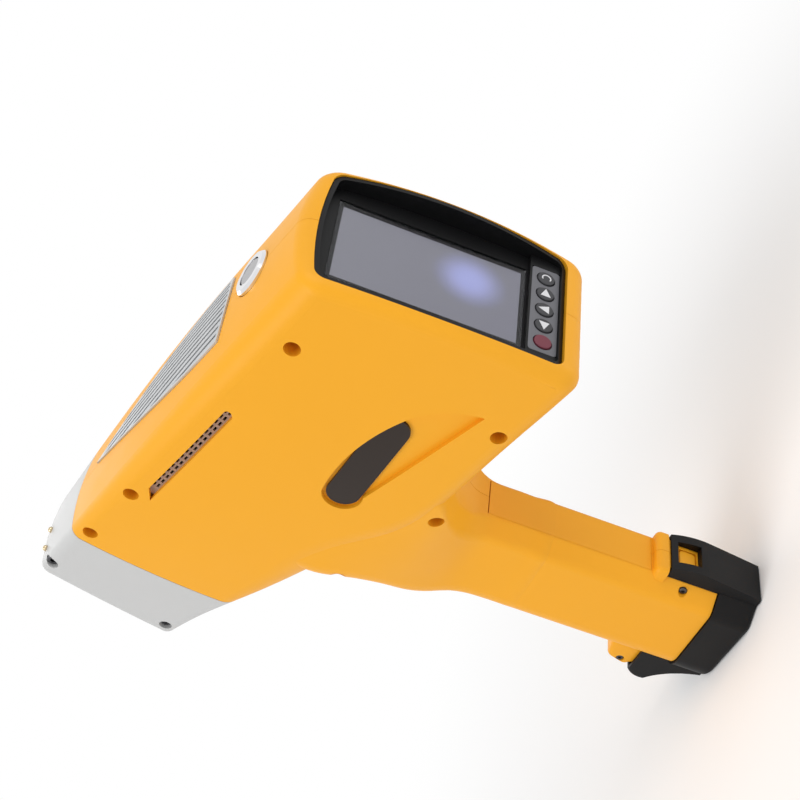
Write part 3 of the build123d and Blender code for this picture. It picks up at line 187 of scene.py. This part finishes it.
def finishBump(tree, shader, height, strength, distance):
    bump = tree.nodes.new("ShaderNodeBump")
    bump.inputs["Strength"].default_value = strength
    bump.inputs["Distance"].default_value = distance
    tree.links.new(height, bump.inputs["Height"])
    tree.links.new(bump.outputs["Normal"], shader.inputs["Normal"])


def plasticMaterial(name, colour, roughness=0.42, drift=0.05, grain=1500.0, bump=0.10, spread=0.12,
                    coat=0.0, specular=0.5):
    material, tree, shader = startMaterial(name)
    node = tree.nodes.new("ShaderNodeGroup")
    node.node_tree = mouldedGrain
    node.inputs["Colour"].default_value = (*colour, 1)
    node.inputs["Drift"].default_value = drift
    node.inputs["Grain Size"].default_value = grain
    node.inputs["Roughness"].default_value = roughness
    node.inputs["Spread"].default_value = spread
    tree.links.new(node.outputs["Colour"], shader.inputs["Base Color"])
    tree.links.new(node.outputs["Roughness"], shader.inputs["Roughness"])
    shader.inputs["Coat Weight"].default_value = coat
    shader.inputs["Coat Roughness"].default_value = 0.12
    shader.inputs["Specular IOR Level"].default_value = specular
    finishBump(tree, shader, node.outputs["Height"], bump, 0.0002)
    return material


def metalMaterial(name, colour, roughness=0.3, stretch=(20.0, 900.0, 900.0), spread=0.15, bump=0.12):
    material, tree, shader = startMaterial(name)
    node = tree.nodes.new("ShaderNodeGroup")
    node.node_tree = metalMarks
    node.inputs["Colour"].default_value = (*colour, 1)
    node.inputs["Line Stretch"].default_value = stretch
    node.inputs["Roughness"].default_value = roughness
    node.inputs["Spread"].default_value = spread
    tree.links.new(node.outputs["Colour"], shader.inputs["Base Color"])
    tree.links.new(node.outputs["Roughness"], shader.inputs["Roughness"])
    shader.inputs["Metallic"].default_value = 1.0
    finishBump(tree, shader, node.outputs["Height"], bump, 0.0001)
    return material


def glassMaterial(name):
    material, tree, shader = startMaterial(name)
    shader.inputs["Base Color"].default_value = (0.93, 0.94, 0.97, 1)
    shader.inputs["Transmission Weight"].default_value = 1.0
    shader.inputs["Roughness"].default_value = 0.03
    shader.inputs["IOR"].default_value = 1.2
    return material


screenLook = {
    "low": (0.20, 0.195, 0.235, 1),
    "high": (0.235, 0.232, 0.262, 1),
    # colour of the painted reflection spot on the screen
    "paintedReflection": (0.42, 0.45, 0.85, 1),
    "lowZ": 0.174,
    "highZ": 0.256,
    "centre": (0.1362, 0.006, 0.197),
    "core": 0.001,
    "reach": 0.020,
    "strength": 0.75,
}


def screenMaterial(name):
    # Grey-violet panel, a little lighter upwards, with one soft painted reflection: a bright spot round a
    # point, mixed into the emission.
    material, tree, shader = startMaterial(name)
    coords = tree.nodes.new("ShaderNodeTexCoord").outputs["Object"]
    split = tree.nodes.new("ShaderNodeSeparateXYZ")
    tree.links.new(coords, split.inputs[0])
    rise = tree.nodes.new("ShaderNodeMapRange")
    rise.inputs["From Min"].default_value = screenLook["lowZ"]
    rise.inputs["From Max"].default_value = screenLook["highZ"]
    tree.links.new(split.outputs["Z"], rise.inputs["Value"])
    ground = mixColour(tree, rise.outputs["Result"], screenLook["low"], screenLook["high"])
    # Painted reflection: a bright spot that fades out with distance from the centre point.
    away = tree.nodes.new("ShaderNodeVectorMath")
    away.operation = "DISTANCE"
    tree.links.new(coords, away.inputs[0])
    away.inputs[1].default_value = screenLook["centre"]
    fade = tree.nodes.new("ShaderNodeMapRange")
    fade.interpolation_type = "SMOOTHERSTEP"
    fade.inputs["From Min"].default_value = screenLook["reach"]
    fade.inputs["From Max"].default_value = screenLook["core"]
    tree.links.new(away.outputs["Value"], fade.inputs["Value"])
    colour = mixColour(tree, fade.outputs["Result"], ground, screenLook["paintedReflection"])
    tree.links.new(colour, shader.inputs["Emission Color"])
    shader.inputs["Emission Strength"].default_value = screenLook["strength"]
    shader.inputs["Base Color"].default_value = (0.02, 0.02, 0.025, 1)
    shader.inputs["Roughness"].default_value = 0.25
    return material


def boardMaterial(name, colour):
    # Solder mask over faint square copper areas.
    material, tree, shader = startMaterial(name)
    coords = tree.nodes.new("ShaderNodeTexCoord").outputs["Object"]
    cells = tree.nodes.new("ShaderNodeTexVoronoi")
    cells.distance = "MANHATTAN"
    cells.inputs["Scale"].default_value = 260.0
    tree.links.new(coords, cells.inputs["Vector"])
    lighter = tuple(min(1.0, c * 1.9 + 0.01) for c in colour)
    tone = mixColour(tree, remap(tree, cells.outputs["Distance"], 0.0, 1.0), (*colour, 1), (*lighter, 1))
    tree.links.new(tone, shader.inputs["Base Color"])
    shader.inputs["Roughness"].default_value = 0.35
    return material


materialOf = {
    "housing_yellow": plasticMaterial("yellowPlastic", (0.90, 0.405, 0.014), roughness=0.46, drift=0.05,
                                      specular=0.28),
    "nose_grey": plasticMaterial("greyPlastic", (0.56, 0.56, 0.555), roughness=0.45, drift=0.05),
    "boot_black": plasticMaterial("bootPlastic", (0.0045, 0.0045, 0.005), roughness=0.5, drift=0.2,
                                  specular=0.22),
    "bezel_black": plasticMaterial("bezelPlastic", (0.006, 0.006, 0.0065), roughness=0.42, drift=0.2,
                                   specular=0.2),
    "trigger_black": plasticMaterial("triggerPlastic", (0.016, 0.016, 0.017), roughness=0.5, drift=0.2),
    "badge_bronze": plasticMaterial("badgeInlay", (0.022, 0.012, 0.007), roughness=0.3, drift=0.6,
                                    grain=300.0, bump=0.03, specular=0.3),
    "mesh_dark": plasticMaterial("meshPlastic", (0.40, 0.27, 0.20), roughness=0.6, drift=0.5),
    "keypad": plasticMaterial("keypadSheet", (0.135, 0.135, 0.15), roughness=0.42, drift=0.1),
    "key_red": plasticMaterial("redRubber", (0.16, 0.022, 0.04), roughness=0.5, drift=0.1),
    "key_grey": plasticMaterial("greyRubber", (0.035, 0.035, 0.04), roughness=0.5, drift=0.1),
    "film": plasticMaterial("windowFilm", (0.05, 0.035, 0.02), roughness=0.15, drift=0.3, bump=0.05),
    "supply_black": plasticMaterial("pottedCase", (0.03, 0.03, 0.033), roughness=0.55, drift=0.3),
    "pad_grey": plasticMaterial("softPad", (0.30, 0.33, 0.38), roughness=0.7, drift=0.2),
    "pack_grey": plasticMaterial("packShell", (0.07, 0.07, 0.075), roughness=0.5, drift=0.2),
    "cell_steel": plasticMaterial("cellSleeve", (0.02, 0.09, 0.26), roughness=0.3, drift=0.1, coat=0.3),
    "sink_aluminium": metalMaterial("blastedAluminium", (0.60, 0.61, 0.62), roughness=0.42,
                                    stretch=(30.0, 1400.0, 1400.0)),
    "plate_steel": metalMaterial("brushedPlate", (0.33, 0.33, 0.34), roughness=0.34),
    "screw_steel": metalMaterial("zincScrew", (0.45, 0.45, 0.46), roughness=0.35, stretch=(600, 600, 600)),
    "dark_screw": metalMaterial("darkScrew", (0.10, 0.10, 0.105), roughness=0.4, stretch=(600, 600, 600)),
    "contact_gold": metalMaterial("goldContact", (0.62, 0.50, 0.32), roughness=0.25,
                                  stretch=(500, 500, 500)),
    "button_chrome": metalMaterial("polishedRing", (0.80, 0.80, 0.82), roughness=0.10, spread=0.04,
                                   stretch=(300, 300, 300), bump=0.02),
    "cap_steel": metalMaterial("brushedCap", (0.42, 0.42, 0.43), roughness=0.30),
    "block_metal": metalMaterial("machinedBlock", (0.55, 0.55, 0.56), roughness=0.32),
    "tube_metal": metalMaterial("brassBody", (0.60, 0.43, 0.16), roughness=0.3, stretch=(40, 900, 900)),
    "detector_metal": metalMaterial("nickelCan", (0.60, 0.58, 0.54), roughness=0.22),
    "wheel_metal": metalMaterial("wheelSheet", (0.50, 0.50, 0.51), roughness=0.35),
    "chassis_metal": metalMaterial("chassisSheet", (0.52, 0.53, 0.54), roughness=0.38),
    "spring_steel": metalMaterial("springWire", (0.40, 0.40, 0.41), roughness=0.25,
                                  stretch=(500, 500, 500)),
    "glass": glassMaterial("coverGlass"),
    "lcd": screenMaterial("litPanel"),
    "board_green": boardMaterial("greenBoard", (0.012, 0.11, 0.04)),
}

for entry in frame["record"]["subparts"]:
    mesh = nodes[entry["node"]].data
    mesh.materials.clear()
    mesh.materials.append(materialOf[entry["material_slot"]])
print("materials on", len(nodes), "solids")


def meshFromGrid(name, grid):
    # A closed skin through a grid of points [rings, around, 3], with a face on each end.
    rings, around = grid.shape[:2]
    index = np.arange(rings * around).reshape(rings, around)
    nextAround = np.roll(index, -1, axis=1)
    quads = np.stack([index[:-1], nextAround[:-1], nextAround[1:], index[1:]], axis=-1).reshape(-1, 4)
    faces = [tuple(q) for q in quads.tolist()]
    faces.append(tuple(index[0][::-1].tolist()))
    faces.append(tuple(index[-1].tolist()))
    mesh = bpy.data.meshes.new(name)
    mesh.from_pydata(grid.reshape(-1, 3).tolist(), [], faces)
    mesh.validate()
    mesh.update()
    return mesh


def addPiece(name, mesh, body, slotName, smooth=True):
    piece = bpy.data.objects.new(name, mesh)
    scene.collection.objects.link(piece)
    mesh.materials.append(materialOf[slotName])
    mesh.shade_smooth() if smooth else mesh.shade_flat()
    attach(piece, body)
    return piece


def raisedShape(name, outline, baseX, height, body, slotName):
    # A flat outline in Y and Z, raised along X: three rings, the last drawn in a little.
    outline = np.asarray(outline, float)
    middle = outline.mean(axis=0)
    rings = []
    for rise, scale in raiseSteps:
        flat = middle + (outline - middle) * scale
        rings.append(np.column_stack([np.full(len(flat), baseX + rise * height), flat]))
    return addPiece(name, meshFromGrid(name, np.stack(rings)), body, slotName, smooth=False)


legendLook = {"height": 0.00016, "half": 0.0026, "stretch": 1.15, "sink": 0.00002, "sidePoints": 6}
hookLook = {"radius": 0.0019, "wire": 0.00035, "flatten": 0.6, "start": -130, "sweep": 250,
            "alongPoints": 40, "aroundPoints": 12}
raiseSteps = ((0.0, 1.0), (0.7, 1.0), (1.0, 0.93))   # share of the height, and scale of the outline
materialOf["legend_white"] = plasticMaterial("legendWhite", (0.72, 0.72, 0.74), roughness=0.4, drift=0.05)
legendSlot = "key_grey"


def keyFace(node):
    low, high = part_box(node)
    return high.x, (low.y + high.y) / 2, (low.z + high.z) / 2


def arrowOutline(angle, half):
    # A triangle with points along its sides, its tip turned by the angle from +Y towards +Z.
    corners = np.radians([0, 128, 232])
    tips = np.stack([np.cos(corners), np.sin(corners)], axis=1) * half * legendLook["stretch"]
    steps = np.linspace(0, 1, legendLook["sidePoints"], endpoint=False)[:, None]
    sides = [tips[i] * (1 - steps) + tips[(i + 1) % 3] * steps for i in range(3)]
    points = np.concatenate(sides)
    turn = np.array([[math.cos(angle), -math.sin(angle)], [math.sin(angle), math.cos(angle)]])
    return points @ turn.T


def hookGrid(centre):
    # An arc of flattened wire in the Y, Z plane, by angle along it and angle round the wire:
    # the reach from the centre is the radius plus the wire's half width times the cosine.
    start, wire = hookLook["start"], hookLook["wire"]
    along = np.radians(np.linspace(start, start + hookLook["sweep"], hookLook["alongPoints"]))
    aroundWire = np.linspace(0, 2 * np.pi, hookLook["aroundPoints"], endpoint=False)
    a, b = np.meshgrid(along, aroundWire, indexing="ij")
    reach = hookLook["radius"] + wire * np.cos(b)
    return np.stack([centre[0] + wire * hookLook["flatten"] * np.sin(b),
                     centre[1] + reach * np.cos(a), centre[2] + reach * np.sin(a)], axis=-1)


for keyNode, body, angle in (("left_key", "left_push", math.pi), ("up_key", "up_push", math.pi / 2),
                             ("right_key", "right_push", 0.0)):
    x, y, z = keyFace(keyNode)
    outline = arrowOutline(angle, legendLook["half"]) + np.array([y, z])
    piece = raisedShape(keyNode.replace("_key", "Arrow"), outline, x - legendLook["sink"],
                        legendLook["height"], body, legendSlot)
    piece.data.materials[0] = materialOf["legend_white"]

hook = meshFromGrid("returnHook", hookGrid(keyFace("return_key")))
piece = addPiece("returnHook", hook, "return_push", legendSlot)
piece.data.materials[0] = materialOf["legend_white"]
print("key legends")


cameraLook = {"place": (0.5342, -0.5189, 0.3261), "yaw": 47.895, "dip": 10.236, "roll": -0.336,
              "turn": 70.0, "lens": 72.09, "sensor": 36.0, "near": 0.01}


def makeCamera():
    # Looks from behind and left; the picture is turned anticlockwise by the turn angle.
    yaw, dip, roll, turn = (math.radians(cameraLook[k]) for k in ("yaw", "dip", "roll", "turn"))
    ahead = Vector((-math.cos(yaw) * math.cos(dip), math.sin(yaw) * math.cos(dip), -math.sin(dip)))
    flatRight = Vector((math.sin(yaw), math.cos(yaw), 0.0))
    flatUp = flatRight.cross(ahead)
    right = math.cos(roll) * flatRight + math.sin(roll) * flatUp
    up = -math.sin(roll) * flatRight + math.cos(roll) * flatUp
    turnedRight = math.cos(turn) * right - math.sin(turn) * up
    turnedUp = math.sin(turn) * right + math.cos(turn) * up
    data = bpy.data.cameras.new("camera")
    data.lens = cameraLook["lens"]
    data.sensor_width = cameraLook["sensor"]
    data.clip_start = cameraLook["near"]
    camera = bpy.data.objects.new("camera", data)
    matrix = Matrix((turnedRight, turnedUp, -ahead)).transposed().to_4x4()
    matrix.translation = Vector(cameraLook["place"])
    camera.matrix_world = matrix
    scene.collection.objects.link(camera)
    scene.camera = camera


lampLook = {
    "key": {"place": (-0.25, -1.1, 1.25), "size": 1.0, "power": 9.5},
    "rear": {"place": (1.3, 0.15, 1.0), "size": 1.1, "power": 7.5},
    "front": {"place": (-1.2, 0.5, 0.8), "size": 1.0, "power": 4.0},
}
worldLook = {"strength": 0.58, "shown": 1.0}
floorLook = {"reach": 9.0, "level": -0.0001, "colour": (0.93, 0.93, 0.93), "roughness": 0.7,
             "fadeFrom": 0.15, "fadeTo": 0.55}
lampAim = (0.0, 0.0, 0.2)


def makeLamp(name, place, size, power):
    data = bpy.data.lights.new(name, "AREA")
    data.shape = "DISK"
    data.size = size
    data.energy = power
    lamp = bpy.data.objects.new(name, data)
    lamp.location = place
    aim = Vector(lampAim) - Vector(place)
    lamp.rotation_euler = aim.to_track_quat("-Z", "Y").to_euler()
    scene.collection.objects.link(lamp)


def backdropRays(tree):
    # 1 for rays that are seen, mirrored or passed through, 0 for rays that only light.
    path = tree.nodes.new("ShaderNodeLightPath")
    return mathNode(tree, "MAXIMUM", path.outputs["Is Camera Ray"],
                    mathNode(tree, "MAXIMUM", path.outputs["Is Glossy Ray"],
                             path.outputs["Is Transmission Ray"]))


def makeWorld():
    # A soft white dome that lights gently and looks plain white.
    world = bpy.data.worlds.new("studio")
    scene.world = world
    world.use_nodes = True
    tree = world.node_tree
    background = tree.nodes["Background"]
    background.inputs["Color"].default_value = (1, 1, 1, 1)
    seen = backdropRays(tree)
    strength = mathNode(tree, "ADD", worldLook["strength"],
                        mathNode(tree, "MULTIPLY", seen, worldLook["shown"] - worldLook["strength"]))
    tree.links.new(strength, background.inputs["Strength"])


def makeFloor():
    # A flat sheet that fades to the backdrop's white with distance from the object.
    reach, level = floorLook["reach"], floorLook["level"]
    mesh = bpy.data.meshes.new("floor")
    corners = [(-reach, -reach), (reach, -reach), (reach, reach), (-reach, reach)]
    mesh.from_pydata([(*corner, level) for corner in corners], [], [(0, 1, 2, 3)])
    floor = bpy.data.objects.new("floor", mesh)
    scene.collection.objects.link(floor)
    material, tree, shader = startMaterial("paleFloor")
    shader.inputs["Base Color"].default_value = (*floorLook["colour"], 1)
    shader.inputs["Roughness"].default_value = floorLook["roughness"]
    shader.inputs["Specular IOR Level"].default_value = 0.0
    coords = tree.nodes.new("ShaderNodeTexCoord").outputs["Object"]
    away = tree.nodes.new("ShaderNodeVectorMath")
    away.operation = "LENGTH"
    tree.links.new(coords, away.inputs[0])
    fade = tree.nodes.new("ShaderNodeMapRange")
    fade.interpolation_type = "SMOOTHSTEP"
    fade.inputs["From Min"].default_value = floorLook["fadeFrom"]
    fade.inputs["From Max"].default_value = floorLook["fadeTo"]
    tree.links.new(away.outputs["Value"], fade.inputs["Value"])
    seen = backdropRays(tree)
    plain = tree.nodes.new("ShaderNodeEmission")
    plain.inputs["Color"].default_value = (1, 1, 1, 1)
    plain.inputs["Strength"].default_value = 1.0
    mix = tree.nodes.new("ShaderNodeMixShader")
    tree.links.new(mathNode(tree, "MULTIPLY", seen, fade.outputs["Result"]), mix.inputs[0])
    tree.links.new(shader.outputs[0], mix.inputs[1])
    tree.links.new(plain.outputs[0], mix.inputs[2])
    tree.links.new(mix.outputs[0], tree.nodes["Material Output"].inputs["Surface"])
    mesh.materials.append(material)
    # The object stands on its battery pack, so the floor goes down with it.
    battery = frame["bodies"]["battery"]
    floor.parent = battery
    floor.matrix_parent_inverse = battery.matrix_world.inverted()


makeCamera()
for lampName, look in lampLook.items():
    makeLamp(lampName + "Lamp", look["place"], look["size"], look["power"])
makeWorld()
makeFloor()
scene.view_settings.view_transform = "Standard"
print("camera, lamps and floor")
